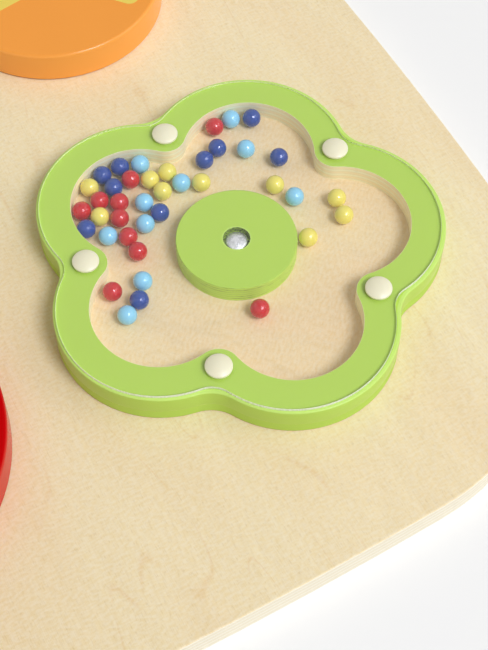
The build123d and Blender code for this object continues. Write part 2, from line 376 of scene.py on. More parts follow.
def plywood(name, node, faces, edges):
    """Plywood seen from all sides: veneer on its faces and its layers in its cut edges."""
    material, tree, surface = new_material(name)
    # the board's faces carry painted shade towards their left
    face, fibres = veneer_colour(tree, *faces, turn=0.0, left_shade=0.42)
    edge, relief = ply_colour(tree, bottom_of(node), *edges)
    flat = flatness(tree)
    colour = mixed(tree, flat, edge, face)
    height = out(tree, "ShaderNodeMix", {0: flat, 2: relief, 3: fibres})
    values = {"Base Color": colour, "Roughness": 0.48, "Specular IOR Level": 0.2}
    surfaced(tree, surface, values, height, 0.03 * MM)
    return material


def tray_plywood(name, faces, edge_paint):
    """Bare veneer on the faces and green paint round the rim."""
    material, tree, surface = new_material(name)
    grain_turn = math.radians(-136)
    face, fibres = veneer_colour(tree, *faces, grain_turn, (0.4, 0.2, 0))
    colour = mixed(tree, flatness(tree, 0.9, 0.99), edge_paint, face)
    values = {"Base Color": colour, "Roughness": 0.55, "Specular IOR Level": 0.2}
    surfaced(tree, surface, values, fibres, 0.02 * MM)
    return material


def bare_ply(name, bottom, pale, dark, ply):
    """Unpainted cut edge."""
    material, tree, surface = new_material(name)
    colour, relief = ply_colour(tree, bottom, pale, dark, ply)
    values = {"Base Color": colour, "Roughness": 0.7, "Specular IOR Level": 0.1}
    surfaced(tree, surface, values, relief, 0.05 * MM)
    return material


# ---------------------------------------------------------------- paint
PEEL_DEPTH = 0.012 * MM


def sprayed(name, colour, roughness, shine=0.1):
    """Sprayed paint with a faint orange peel: its material, tree, surface, shade and relief."""
    material, tree, surface = new_material(name)
    wire(tree, surface, {"Roughness": roughness, "Specular IOR Level": shine})
    cloud = spread(tree, spots(tree, 0.03, 3.0), 0.3, 0.7, 0.0, 0.08)
    grains = spread(tree, spots(tree, 0.5 * MM, 1.0), 0.3, 0.7, 0.0, 0.07)
    shade = mixed(tree, cloud, colour, scaled(colour, 0.82))
    shade = mixed(tree, grains, shade, scaled(colour, 0.75))
    return material, tree, surface, shade, spots(tree, 0.9 * MM, 1.0)


def paint(name, colour, roughness, shine=0.1, side=None):
    """Paint that may have a lighter copy on the upright faces: painted light and painted sheen
    where the sides catch the lamps.
    """
    material, tree, surface, shade, peel = sprayed(name, colour, roughness, shine)
    # painted light and sheen: upright faces take a lighter copy of the paint
    if side:
        shade = mixed(tree, flatness(tree, 0.5, 0.9), side, shade)
    surfaced(tree, surface, {"Base Color": shade}, peel, PEEL_DEPTH)
    return material


def lip_paint(name, colour, lip_highlight, roughness):
    """Paint that is lighter over a rounded upper edge: a painted highlight along the lip."""
    material, tree, surface, shade, peel = sprayed(name, colour, roughness, shine=0.25)
    # painted highlight along the rounded lip
    shade = tinted(tree, shade, (flatness(tree, 0.1, 0.5), 0.75, lip_highlight))
    surfaced(tree, surface, {"Base Color": shade}, peel, PEEL_DEPTH)
    return material


def hub_paint(name, colour, lip_highlight, roughness, node, ply):
    """Paint over cut layers: their lines show at the side, the upright faces are painted lighter as
    painted light, a painted highlight rings the well, and the well's wall is darker.
    """
    material, tree, surface, shade, peel = sprayed(name, colour, roughness)
    upright = minus(tree, 1.0, flatness(tree, 0.5, 0.9))
    height = height_above(tree, bottom_of(node))
    groove = layer_joint(tree, calculate(tree, "DIVIDE", height, ply), 0.3)
    groove = times(tree, groove, upright)
    pits = spread(tree, mottle(tree, (0.8 * MM, 0.8 * MM, 0.5 * MM), detail=1.0), 0.48, 0.54)
    runs = mottle(tree, (16 * MM, 16 * MM, 2.4 * MM), shift=(0.02, 0, 0.001), detail=0.0)
    pits = times(tree, times(tree, pits, spread(tree, runs, 0.46, 0.54)), groove)
    centre = middle(node)
    flat = {0: own_place(tree), 1: (1, 1, 0)}
    flat = out(tree, "ShaderNodeVectorMath", flat, operation="MULTIPLY")
    apart = {0: flat, 1: (centre.x, centre.y, 0)}
    away = add(tree, "ShaderNodeVectorMath", apart, operation="DISTANCE").outputs["Value"]
    well_edge = 5.65 * MM
    away = minus(tree, away, well_edge)
    # painted highlight: a lighter ring round the well's edge
    rim = spread(tree, away, 0.2 * MM, 0.6 * MM, 1.0, 0.0)
    # the well's wall is made darker, with chips
    inside = spread(tree, away, 0.02 * MM, 0.12 * MM, 1.0, 0.0)
    below = minus(tree, top_of(node) - bottom_of(node), height)
    inside = times(tree, inside, spread(tree, below, 0.12 * MM, 0.35 * MM))
    chips = spread(tree, mottle(tree, (0.7 * MM, 0.7 * MM, 0.5 * MM), detail=2.0), 0.42, 0.6)
    darker_well_wall = mixed(tree, chips, scaled(colour, 0.7), srgb(66, 76, 26))
    # the upright faces are painted lighter, as painted light from the side; grooves and pits are
    # the layers' joints
    shade = tinted(
        tree, shade, (upright, 0.8, scaled(colour, 1.22)), (groove, 0.5, scaled(colour, 0.5)),
        (pits, 0.9, scaled(colour, 0.12)), (rim, 0.8, lip_highlight), (inside, 1.0, darker_well_wall),
    )
    relief = minus(tree, times(tree, peel, 0.2), groove)
    surfaced(tree, surface, {"Base Color": shade}, relief, 0.06 * MM)
    return material


def lacquer(name, colour, roughness):
    """Dipped bead lacquer: glossy, with slightly thinner colour in places."""
    material, tree, surface = new_material(name)
    cloud = spread(tree, spots(tree, 3 * MM, 2.0), 0.35, 0.7, 0.0, 0.16)
    values = {
        "Base Color": mixed(tree, cloud, colour, scaled(colour, 0.8)),
        "Roughness": roughness,
        "Specular IOR Level": 0.1,
        "Coat Weight": 0.85,
        "Coat Roughness": 0.15,
    }
    surfaced(tree, surface, values, spots(tree, 0.8 * MM, 1.0), 0.006 * MM)
    return material


# ---------------------------------------------------------------- plastic, acrylic and metal
def satin_plastic(name, colour):
    """Moulded cream plastic that lets a little light in."""
    material, tree, surface = new_material(name)
    cloud = spread(tree, spots(tree, 6 * MM, 2.0), 0.3, 0.7, 0.0, 0.14)
    values = {
        "Base Color": mixed(tree, cloud, colour, scaled(colour, 0.88)),
        "Roughness": 0.34,
        "Subsurface Weight": 0.12,
        "Subsurface Radius": (1.2 * MM, 1.0 * MM, 0.7 * MM),
        "Subsurface Scale": 1.0,
    }
    surfaced(tree, surface, values, spots(tree, 0.25 * MM, 1.0), 0.004 * MM)
    return material


def see_through(tree):
    """A shader that light passes unchanged."""
    return out(tree, "ShaderNodeBsdfTransparent", {"Color": (1, 1, 1, 1)})


def clear_sheet(name):
    """Polished faces of the window: they bend what is seen through them and let the lamps in."""
    material, tree, surface = new_material(name)
    tree.nodes.remove(surface)
    acrylic = {"Color": (1, 1, 1, 1), "Roughness": 0.0, "IOR": 1.49}
    glass = out(tree, "ShaderNodeBsdfGlass", acrylic)
    clear = see_through(tree)
    path = add(tree, "ShaderNodeLightPath").outputs
    lit = out(tree, "ShaderNodeMixShader", {0: path["Is Diffuse Ray"], 1: glass, 2: clear})
    shown(tree, out(tree, "ShaderNodeMixShader", {0: path["Is Shadow Ray"], 1: lit, 2: clear}))
    return material


def cut_acrylic(name, centre):
    """Sawn rim of the window: milky, a little see-through, with fine upright saw marks; from inside
    it is painted lime, a painted reflection of the green paint with painted light.
    """
    material, tree, surface = new_material(name)
    values = {"Vector": own_place(tree), "Location": centre}
    place = out(tree, "ShaderNodeMapping", values, vector_type="TEXTURE")
    turn = calculate(tree, "ARCTAN2", part_of(tree, place, "Y"), part_of(tree, place, "X"))
    values = {"W": times(tree, turn, 90.0), "Scale": 1.0, "Detail": 2.0}
    marks = add(tree, "ShaderNodeTexNoise", values, noise_dimensions="1D").outputs["Fac"]
    runs = spread(tree, mottle(tree, (0.02, 0.02, 1), detail=1.0), 0.35, 0.65)
    runs = plus(tree, times(tree, runs, 0.7), 0.3)
    marks = times(tree, spread(tree, marks, 0.35, 0.7), runs)
    milk_and_reflection = mixed(tree, marks, srgb(255, 255, 250), srgb(226, 234, 204))
    # painted reflection and painted light: the rim seen from inside takes a lime tint
    inside_painted_reflection = mixed(tree, marks, srgb(250, 255, 210), srgb(206, 234, 130))
    from_inside = add(tree, "ShaderNodeNewGeometry").outputs["Backfacing"]
    milk_and_reflection = mixed(tree, from_inside, milk_and_reflection, inside_painted_reflection)
    values = {"Base Color": milk_and_reflection, "Roughness": 0.2, "Specular IOR Level": 0.7}
    surfaced(tree, surface, values, marks, 0.08 * MM)
    through = out(tree, "ShaderNodeBsdfTranslucent", {"Color": milk_and_reflection})
    cloudy = out(tree, "ShaderNodeMixShader", {0: 0.12, 1: surface.outputs[0], 2: through})
    shown(tree, out(tree, "ShaderNodeMixShader", {0: 0.88, 1: see_through(tree), 2: cloudy}))
    return material


def metal(name, colour, roughness, scratch, shine=1.0):
    """Metal with a cloudy polish and fine scratches; below 1, shine leaves it partly matt."""
    material, tree, surface = new_material(name)
    cloud = spots(tree, 2.5 * MM, 3.0)
    dull = spread(tree, cloud, 0.35, 0.65, 0.0, 0.8)
    values = {
        "Base Color": mixed(tree, dull, colour, scaled(colour, 0.6)),
        "Metallic": shine,
        "Roughness": spread(tree, cloud, 0.3, 0.7, roughness * 0.7, roughness * 1.4),
    }
    scratches = mottle(tree, (0.3 * MM, 3 * MM, 3 * MM), turn=-0.5, detail=2.0)
    surfaced(tree, surface, values, scratches, scratch)
    return material


# ---------------------------------------------------------------- outlines
polar = cmath.rect


def arc(centre, start, end, step, turn_left):
    """Points of an arc about a centre, from start towards end, without its last point."""
    first = cmath.phase(start - centre)
    sweep = cmath.phase((end - centre) / (start - centre))
    if turn_left and sweep < 0:
        sweep += math.tau
    if not turn_left and sweep > 0:
        sweep -= math.tau
    radius = abs(start - centre)
    count = max(3, round(abs(sweep) * radius / step))
    return [centre + polar(radius, first + sweep * i / count) for i in range(count)]


def part_way(start, target, distance):
    """The point at a distance from a start, on the way to a target."""
    return start + (target - start) * distance / abs(target - start)


def wheel_settings():
    return bpy.context.scene.busy_board_wheel


def on_wheel(point):
    """A point of the wheel's own plane, as a place on the board."""
    centre = middle("flower_pivot_bolt")
    turned = point * polar(1, wheel_settings().rest_turn)
    return Vector((centre.x + turned.real, centre.y + turned.imag, 0))


def wheel_angles():
    """Headings of the petals and of the screws between them."""
    wheel = wheel_settings()
    step = math.tau / wheel.petals
    screws = [math.pi / 2 + step * i for i in range(wheel.petals)]
    return [angle + step / 2 for angle in screws], screws


def lobed_outline(lobe_spread, lobe_radius, notch_centre, notch_radius):
    """Closed outline of petal arcs joined by tangent arcs round the points between them."""
    wheel = wheel_settings()
    step = math.tau / wheel.petals
    points = []
    for petal, screw in zip(*wheel_angles()):
        lobe, following = polar(lobe_spread, petal), polar(lobe_spread, petal + step)
        before, after = polar(notch_centre, screw), polar(notch_centre, screw + step)
        start = part_way(lobe, before, lobe_radius)
        end = part_way(lobe, after, lobe_radius)
        onward = part_way(following, after, lobe_radius)
        points += arc(lobe, start, end, wheel.arc_step, turn_left=True)
        notch_step = min(wheel.arc_step, notch_radius / 8)
        points += arc(after, end, onward, notch_step, turn_left=False)
    return points


def outer_outline(lobe_radius, notch_radius):
    """The outside of the wheel or of its window."""
    wheel = wheel_settings()
    half_step = math.pi / wheel.petals
    reach = lobe_radius + notch_radius
    half_gap = wheel.petal_spread * math.sin(half_step)
    notch_centre = wheel.petal_spread * math.cos(half_step) + math.sqrt(reach ** 2 - half_gap ** 2)
    return lobed_outline(wheel.petal_spread, lobe_radius, notch_centre, notch_radius)


def tray_outline():
    """The inner wall, with a land round each screw."""
    wheel = wheel_settings()
    petals, screws = wheel_angles()
    apart = abs(polar(wheel.screw_spread, screws[0]) - polar(wheel.tray_spread, petals[0]))
    land = apart - wheel.tray_radius
    return lobed_outline(wheel.tray_spread, wheel.tray_radius, wheel.screw_spread, land)


def circle_outline(centre, radius, step):
    count = max(24, round(math.tau * radius / step))
    return [centre + polar(radius, math.tau * i / count) for i in range(count)]


def linked(thing):
    """An object, put in the scene."""
    bpy.context.scene.collection.objects.link(thing)
    return thing


def curve_object(name, lines, closed):
    """Lines of points as a curve object."""
    curve = bpy.data.curves.new(name, "CURVE")
    curve.dimensions = "3D"
    for line in lines:
        spline = curve.splines.new("POLY")
        spline.points.add(len(line) - 1)
        for point, place in zip(spline.points, line):
            point.co = (*place, 1)
        spline.use_cyclic_u = closed
    return linked(bpy.data.objects.new(name, curve))


def outline_object(name, loops, placed=on_wheel):
    """Closed loops of complex points, laid down by the function that places them."""
    return curve_object(name, [[placed(point) for point in loop] for loop in loops], True)


def profile_object(name, points):
    """An open line of radius and height."""
    return curve_object(name, [[(radius, height, 0) for radius, height in points]], False)


# ---------------------------------------------------------------- geometry trees
HOLE_WALL, FLAT_FACE = "hole_wall", "flat_face"
ROUNDS = ("Top round", "Bottom round", "Hole round")


def new_tree(name, inputs):
    """An empty geometry tree and its inputs, given as {name: (socket kind, default)}."""
    tree = bpy.data.node_groups.new(name, "GeometryNodeTree")
    tree.interface.new_socket("Geometry", in_out="OUTPUT", socket_type="NodeSocketGeometry")
    for label, (kind, default) in inputs.items():
        socket = tree.interface.new_socket(label, in_out="INPUT", socket_type="NodeSocket" + kind)
        if default is not None:
            socket.default_value = default
    return tree, tree.nodes.new("NodeGroupInput").outputs


def finish_tree(tree, geometry, materials):
    """Real geometry with its materials, as pairs of a material socket and a selection."""
    result = out(tree, "GeometryNodeRealizeInstances", {"Geometry": geometry})
    for material, selection in materials:
        values = {"Geometry": result, "Material": material}
        if selection is not None:
            values["Selection"] = selection
        result = out(tree, "GeometryNodeSetMaterial", values)
    tree.links.new(result, tree.nodes.new("NodeGroupOutput").inputs[0])


def geometry_of(tree, source):
    return add(tree, "GeometryNodeObjectInfo", {"Object": source}).outputs["Geometry"]


def flipped(tree, mesh):
    return out(tree, "GeometryNodeFlipFaces", {"Mesh": mesh})


def smooth(tree, geometry):
    return out(tree, "GeometryNodeSetShadeSmooth", {"Geometry": geometry})


def welded(tree, geometry, distance):
    values = {"Geometry": geometry, "Distance": distance}
    return out(tree, "GeometryNodeMergeByDistance", values)


def moved(tree, geometry, **where):
    """Points set to a Position or shifted by an Offset."""
    return out(tree, "GeometryNodeSetPosition", {"Geometry": geometry, **where})


def joined(tree, *pieces):
    whole = add(tree, "GeometryNodeJoinGeometry")
    for piece in pieces:
        tree.links.new(piece, whole.inputs[0])
    return whole.outputs[0]


def swept(tree, path, profile):
    """A profile carried along a path, with its faces outwards."""
    path = out(tree, "GeometryNodeSetCurveNormal", {"Curve": path}, mode="Z_UP")
    values = {"Curve": path, "Profile Curve": profile}
    return flipped(tree, out(tree, "GeometryNodeCurveToMesh", values))


def marked(tree, geometry, mark):
    """Put a mark on all faces."""
    values = {"Geometry": geometry, "Name": mark, "Value": True}
    return out(tree, "GeometryNodeStoreNamedAttribute", values, data_type="BOOLEAN", domain="FACE")


def with_mark(tree, mark):
    """The faces that have a mark, as a selection."""
    return out(tree, "GeometryNodeInputNamedAttribute", {"Name": mark}, data_type="BOOLEAN")


def rounded_plate_tree():
    """A flat plate with softened edges, over any outline with any holes."""
    tree, given = new_tree("Rounded plate", {
        "Outline": ("Object", None),
        "Holes": ("Object", None),
        "Bottom": ("Float", 0.0),
        "Top": ("Float", 1 * MM),
        "Top round": ("Float", 0.5 * MM),
        "Bottom round": ("Float", 0.2 * MM),
        "Hole round": ("Float", 0.2 * MM),
        "Round steps": ("Int", 5),
        "Face margin": ("Float", 0.02 * MM),
        "Hole margin": ("Float", 0.02 * MM),
        "Side": ("Material", None),
        "Face": ("Material", None),
        "Hole wall": ("Material", None),
    })
    thick = minus(tree, given["Top"], given["Bottom"])
    half_way = plus(tree, given["Bottom"], times(tree, thick, 0.5))

    def edge_profile(top_round, bottom_round, margin):
        """Upright line with a rounded turn at each end: X points out of the plate and Y down."""
        reach = plus(tree, calculate(tree, "MAXIMUM", top_round, bottom_round), margin)
        number = out(tree, "GeometryNodeInputIndex")
        off_middle = calculate(tree, "ABSOLUTE", minus(tree, number, 1.5))
        end = calculate(tree, "COMPARE", off_middle, 1.5, 0.1)
        upper = calculate(tree, "GREATER_THAN", number, 1.5)
        across = times(tree, end, times(tree, reach, -1.0))
        down = minus(tree, times(tree, upper, times(tree, thick, -1.0)), given["Bottom"])
        line = out(tree, "GeometryNodeMeshLine", {"Count": 4})
        line = moved(tree, line, Position=vector(tree, X=across, Y=down))
        values = {
            "Curve": out(tree, "GeometryNodeMeshToCurve", {"Mesh": line}),
            "Count": given["Round steps"],
            "Radius": out(tree, "ShaderNodeMix", {0: upper, 2: bottom_round, 3: top_round}),
            "Limit Radius": True,
        }
        return out(tree, "GeometryNodeFilletCurve", values, mode="POLY")

    def edge_band(outline, *sizes):
        """The profile of the named sizes, carried along every loop of an outline."""
        profile = edge_profile(*(given[size] for size in sizes))
        return swept(tree, geometry_of(tree, given[outline]), profile)

    side = edge_band("Outline", "Top round", "Bottom round", "Face margin")
    wall = edge_band("Holes", "Hole round", "Hole round", "Hole margin")
    bands = joined(tree, marked(tree, wall, HOLE_WALL), side)
    faces_beside = out(tree, "GeometryNodeInputMeshEdgeNeighbors")
    open_edge = calculate(tree, "COMPARE", faces_beside, 1.0, 0.1)
    height = part_of(tree, out(tree, "GeometryNodeInputPosition"), "Z")
    above = calculate(tree, "GREATER_THAN", height, half_way)
    below = minus(tree, 1.0, above)

    def flat_face(level, which):
        """The open edges above or below, filled at their level."""
        rim = {"Mesh": bands, "Selection": times(tree, open_edge, which)}
        rim = out(tree, "GeometryNodeMeshToCurve", rim)
        face = out(tree, "GeometryNodeFillCurve", {"Curve": rim})
        return marked(tree, moved(tree, face, Offset=vector(tree, Z=level)), FLAT_FACE)

    top = flat_face(given["Top"], above)
    bottom = flipped(tree, flat_face(given["Bottom"], below))
    whole = smooth(tree, welded(tree, joined(tree, bands, top, bottom), 0.002 * MM))
    finish_tree(tree, whole, [
        (given["Side"], None),
        (given["Face"], with_mark(tree, FLAT_FACE)),
        (given["Hole wall"], with_mark(tree, HOLE_WALL)),
    ])
    return tree


def scattered(tree, points, piece, finish):
    """End a tree with a copy of a piece on each point, all in one finish."""
    copies = out(tree, "GeometryNodeInstanceOnPoints", {"Points": points, "Instance": piece})
    copies = out(tree, "GeometryNodeRealizeInstances", {"Geometry": copies})
    finish_tree(tree, smooth(tree, copies), [(finish, None)])


def turned_piece_tree():
    """A lathe: a line of radius and height swung round, once or at even steps on a circle."""
    tree, given = new_tree("Turned pieces", {
        "Profile": ("Object", None),
        "Segments": ("Int", 64),
        "Centre": ("Vector", (0.0, 0.0, 0.0)),
        "Count": ("Int", 1),
        "Spread": ("Float", 0.0),
        "First angle": ("Float", 0.0),
        "Finish": ("Material", None),
    })
    hair = 1 * MM
    path = {"Resolution": given["Segments"], "Radius": hair}
    path = out(tree, "GeometryNodeCurvePrimitiveCircle", path)
    line = geometry_of(tree, given["Profile"])
    line = {"Geometry": line, "Translation": (-hair, 0, 0), "Scale": (1, -1, 1)}
    line = out(tree, "GeometryNodeTransform", line)
    skin = welded(tree, swept(tree, path, line), 0.001 * MM)
    share = calculate(tree, "DIVIDE", out(tree, "GeometryNodeInputIndex"), given["Count"])
    angle = plus(tree, given["First angle"], times(tree, share, math.tau))
    across = times(tree, given["Spread"], calculate(tree, "COSINE", angle))
    along = times(tree, given["Spread"], calculate(tree, "SINE", angle))
    place = {0: vector(tree, X=across, Y=along), 1: given["Centre"]}
    place = out(tree, "ShaderNodeVectorMath", place, operation="ADD")
    centres = out(tree, "GeometryNodeMeshLine", {"Count": given["Count"]})
    scattered(tree, moved(tree, centres, Position=place), skin, given["Finish"])
    return tree


def ball_tree():
    """A ball on each vertex of an object."""
    tree, given = new_tree("Balls on points", {
        "Points": ("Object", None),
        "Radius": ("Float", 4 * MM),
        "Segments": ("Int", 48),
        "Finish": ("Material", None),
    })
    rings = calculate(tree, "DIVIDE", given["Segments"], 2.0)
    ball = {"Segments": given["Segments"], "Rings": rings, "Radius": given["Radius"]}
    ball = out(tree, "GeometryNodeMeshUVSphere", ball)
    scattered(tree, geometry_of(tree, given["Points"]), ball, given["Finish"])
    return tree


def grown(tree, name, values):
    """A plain mesh object made by a geometry tree. Objects given to it are used up."""
    holder = bpy.data.objects.new(name + "_holder", bpy.data.meshes.new(name + "_holder"))
    modifier = linked(holder).modifiers.new(tree.name, "NODES")
    modifier.node_group = tree
    for item in tree.interface.items_tree:
        if item.in_out == "INPUT" and item.name in values:
            modifier[item.identifier] = values[item.name]
    bpy.context.view_layer.update()
    depsgraph = bpy.context.evaluated_depsgraph_get()
    mesh = bpy.data.meshes.new_from_object(holder.evaluated_get(depsgraph), depsgraph=depsgraph)
    mesh.name = name
    while mesh.materials and mesh.materials[0] is None:
        mesh.materials.pop(index=0)
    for mark in (HOLE_WALL, FLAT_FACE):
        if mark in mesh.attributes:
            mesh.attributes.remove(mesh.attributes[mark])
    holder.modifiers.clear()
    used = [holder, *(value for value in values.values() if isinstance(value, bpy.types.Object))]
    for thing in used:
        bpy.data.objects.remove(thing)
    return linked(bpy.data.objects.new(name, mesh))


def fitted(piece, body, slot, *nodes):
    """Make a piece stand for CAD nodes on a body."""
    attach(piece, body)
    if nodes:
        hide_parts(*nodes)
    return piece


def dressed(node, material):
    """Give a CAD node its finish."""
    target = frame["nodes"][node]
    target.data.materials.clear()
    target.data.materials.append(material)


# ---------------------------------------------------------------- the board
class BUSYBOARD_OT_board(Operator):
    """Finish the plywood board: veneer faces and layered edges"""
    bl_idname = "busy_board.board"
    bl_label = "Board"

    def execute(self, context):
        wood = context.scene.busy_board_wood
        faces = tuples(wood.veneer, wood.veneer_warm, wood.fibre, wood.figure)
        edges = [*tuples(wood.ply_pale, wood.ply_dark), wood.ply]
        dressed("board_panel", plywood("birch plywood board", "board_panel", faces, edges))
        return {"FINISHED"}


# ---------------------------------------------------------------- the bead wheel
class BUSYBOARD_OT_wheel(Operator):
    """Make the painted ring with its bare inner wall, and finish the tray and the hub"""
    bl_idname = "busy_board.wheel"
    bl_label = "Bead wheel"

    def execute(self, context):
        wood = context.scene.busy_board_wood
        wheel = context.scene.busy_board_wheel
        colours = context.scene.busy_board_paint
        rough = colours.roughness
        green, outside, lip_highlight = tuples(colours.green, colours.green_side, colours.green_lip_highlight)
        bottom, top = bottom_of("flower_ring"), top_of("flower_ring")
        # the tray walls' layer colours carry painted light
        layers = [*tuples(wood.lightened_wall_pale, wood.lightened_wall_dark), wood.ply]
        outline = outer_outline(wheel.petal_radius, wheel.hollow_radius)
        past_lip = 0.9 * MM
        ring = grown(rounded_plate_tree(), "flower_ring_painted", {
            "Outline": outline_object("ring_outline", [outline]),
            "Holes": outline_object("tray_outline", [tray_outline()[::-1]]),
            "Bottom": bottom,
            "Top": top,
            "Top round": wheel.lip_round,
            "Bottom round": wheel.inner_round,
            "Hole round": wheel.inner_round,
            "Face margin": past_lip,
            "Side": lip_paint("green paint with a painted lip highlight", outside, lip_highlight, rough),
            "Face": paint("green paint", green, rough),
            "Hole wall": bare_ply("bare inner wall", bottom, *layers),
        })
        fitted(ring, "bead_wheel", "green_paint_on_wood", "flower_ring")
        hub = "flower_hub_disc"
        dressed(hub, hub_paint("green paint over layers", green, lip_highlight, rough, hub, wood.ply))
        floor = tuples(wood.floor, wood.floor_warm, wood.fibre, wood.fibre)
        dressed("flower_back", tray_plywood("tray plywood", floor, outside))
        return {"FINISHED"}


class BUSYBOARD_OT_window(Operator):
    """Make the clear window with its sawn rim"""
    bl_idname = "busy_board.window"
    bl_label = "Window"

    def execute(self, context):
        wheel = context.scene.busy_board_wheel
        air_gap = 0.012 * MM
        screw_hole = 1.9 * MM
        off = middle("flower_window") - middle("flower_ring")
        shift = complex(off.x, off.y) / polar(1, wheel.rest_turn)
        outline = outer_outline(wheel.petal_radius - wheel.window_inset, wheel.window_hollow)
        screws = [polar(wheel.screw_spread, angle) for angle in wheel_angles()[1]]
        holes = [circle_outline(screw, screw_hole, wheel.arc_step)[::-1] for screw in screws]
        rim = cut_acrylic("sawn acrylic rim", middle("flower_pivot_bolt"))
        window = grown(rounded_plate_tree(), "clear_window", {
            "Outline": outline_object("window_outline", [[point + shift for point in outline]]),
            "Holes": outline_object("window_holes", holes),
            "Bottom": bottom_of("flower_window") + air_gap,
            "Top": top_of("flower_window"),
            **dict.fromkeys(ROUNDS, wheel.window_bevel),
            "Round steps": 2,
            "Side": rim,
            "Face": clear_sheet("clear acrylic"),
            "Hole wall": rim,
        })
        fitted(window, "bead_wheel", "clear_acrylic", "flower_window")
        return {"FINISHED"}


# ---------------------------------------------------------------- caps, bolts and other fittings
def dome_line(rim_radius, rim_height, top_height, steps):
    """Points of a shallow dome from its rim to its top."""
    rise = top_height - rim_height
    ball = (rim_radius ** 2 + rise ** 2) / (2 * rise)
    reach = math.asin(rim_radius / ball)
    angles = [reach * (1 - i / steps) for i in range(steps + 1)]
    return [(ball * math.sin(a), top_height - ball + ball * math.cos(a)) for a in angles]


def softened(points, corner, radius, steps=4):
    """Round one corner of an open line of points."""
    here = Vector(points[corner])
    before = (Vector(points[corner - 1]) - here).normalized()
    after = (Vector(points[corner + 1]) - here).normalized()
    half = before.angle(after) / 2
    along = radius / math.tan(half)
    centre = here + (before + after).normalized() * radius / math.sin(half)
    start, end = here + before * along - centre, here + after * along - centre
    bend = [centre + radius * start.lerp(end, i / steps).normalized() for i in range(steps + 1)]
    return points[:corner] + [tuple(p) for p in bend] + points[corner + 1:]


class BUSYBOARD_OT_caps(Operator):
    """Make the domed screw caps on the window"""
    bl_idname = "busy_board.caps"
    bl_label = "Screw caps"

    def execute(self, context):
        wheel = context.scene.busy_board_wheel
        fittings = context.scene.busy_board_fittings
        colour = tuple(fittings.cap)
        radius = radius_of("window_cap_1")
        bottom, top = bottom_of("window_cap_1"), top_of("window_cap_1")
        rim = bottom + 0.38 * (top - bottom)
        under = bottom + 0.3 * MM
        line = [(0, under), (0.75 * radius, under), (0.78 * radius, bottom), (radius, bottom)]
        line += dome_line(radius, rim, top, steps=14)
        line = softened(line, corner=4, radius=0.45 * MM)
        line = softened(line, corner=3, radius=0.2 * MM)
        caps = grown(turned_piece_tree(), "screw_caps", {
            "Profile": profile_object("cap_profile", line),
            "Segments": fittings.segments,
            "Centre": on_wheel(0),
            "Count": wheel.petals,
            "Spread": wheel.screw_spread,
            "First angle": wheel_angles()[1][0] + wheel.rest_turn,
            "Finish": satin_plastic("cream plastic", colour),
        })
        names = [f"window_cap_{number}" for number in range(1, wheel.petals + 1)]
        fitted(caps, "bead_wheel", "cream_plastic", *names)
        dressed("window_cap_bases", satin_plastic("cream base plastic", colour))
        return {"FINISHED"}


class BUSYBOARD_OT_fittings(Operator):
    """Finish the pivot bolts, washers, nuts and window screws"""
    bl_idname = "busy_board.fittings"
    bl_label = "Bolts and nuts"

    def execute(self, context):
        fittings = context.scene.busy_board_fittings
        steel, zinc = tuples(fittings.steel, fittings.zinc)
        steel = metal("polished steel", steel, roughness=0.24, scratch=0.03 * MM, shine=0.72)
        zinc = metal("zinc plated steel", zinc, roughness=0.34, scratch=0.02 * MM)
        for toy in ("flower", "orange", "red"):
            dressed(f"{toy}_pivot_bolt", steel)
            dressed(f"{toy}_washer", zinc)
            dressed(f"{toy}_flanged_nut", zinc)
        dressed("window_screws", zinc)
        return {"FINISHED"}


# ---------------------------------------------------------------- the plain discs and the print
class BUSYBOARD_OT_discs(Operator):
    """Finish the two spinning discs and print a pinwheel on the upper one"""
    bl_idname = "busy_board.discs"
    bl_label = "Discs"

    def execute(self, context):
        colours = context.scene.busy_board_paint
        orange, orange_sheen_side = tuples(colours.orange, colours.orange_sheen_side)
        red, red_sheen_side = tuples(colours.red, colours.red_sheen_side)
        orange = paint("orange paint", orange, roughness=0.2, shine=0.4, side=orange_sheen_side)
        red = paint("red paint", red, roughness=0.2, shine=0.08, side=red_sheen_side)
        dressed("orange_disc", orange)
        dressed("red_disc", red)
        ink = paint("yellow print", tuple(colours.print_yellow), roughness=0.5)
        pinwheel = pinwheel_print(middle("orange_disc"), top_of("orange_disc"), ink)
        fitted(pinwheel, "orange_disc", "yellow_print")
        return {"FINISHED"}


def pinwheel_outline():
    """Three straight blades with round tips, joined by wide hollows."""
    first_heading = math.radians(70.4)
    third = math.tau / 3
    left, right = 4.5 * MM, -3.85 * MM
    blade_length = 39.75 * MM
    hollow_radius = 24 * MM
    tip_step, hollow_step = 0.6 * MM, 1 * MM
    across = left + hollow_radius
    along = (hollow_radius - right + across * math.cos(third)) / math.sin(third)
    hollow = complex(along, across)
    tip = complex(blade_length, (left + right) / 2)
    tip_right, tip_left = complex(blade_length, right), complex(blade_length, left)
    blade = arc(tip, tip_right, tip_left, tip_step, turn_left=True)
    hollow_end = hollow + polar(hollow_radius, third + math.pi / 2)
    blade += arc(hollow, complex(along, left), hollow_end, hollow_step, turn_left=False)
    headings = [polar(1, first_heading + third * number) for number in range(3)]
    return [point * heading for heading in headings for point in blade]


def pinwheel_print(centre, level, ink):
    """A thin film of ink on the disc."""
    film, gap = 0.02 * MM, 0.003 * MM
    hole_radius = 6.9 * MM
    hole = circle_outline(0, hole_radius, 1 * MM)

    def on_disc(point):
        return Vector((centre.x + point.real, centre.y + point.imag, 0))

    return grown(rounded_plate_tree(), "pinwheel_print", {
        "Outline": outline_object("pinwheel_outline", [pinwheel_outline()], on_disc),
        "Holes": outline_object("pinwheel_hole", [hole[::-1]], on_disc),
        "Bottom": level + gap,
        "Top": level + gap + film,
        **dict.fromkeys(ROUNDS, film / 4),
        "Round steps": 1,
        "Face margin": 0.05 * MM,
        **dict.fromkeys(("Side", "Face", "Hole wall"), ink),
    })


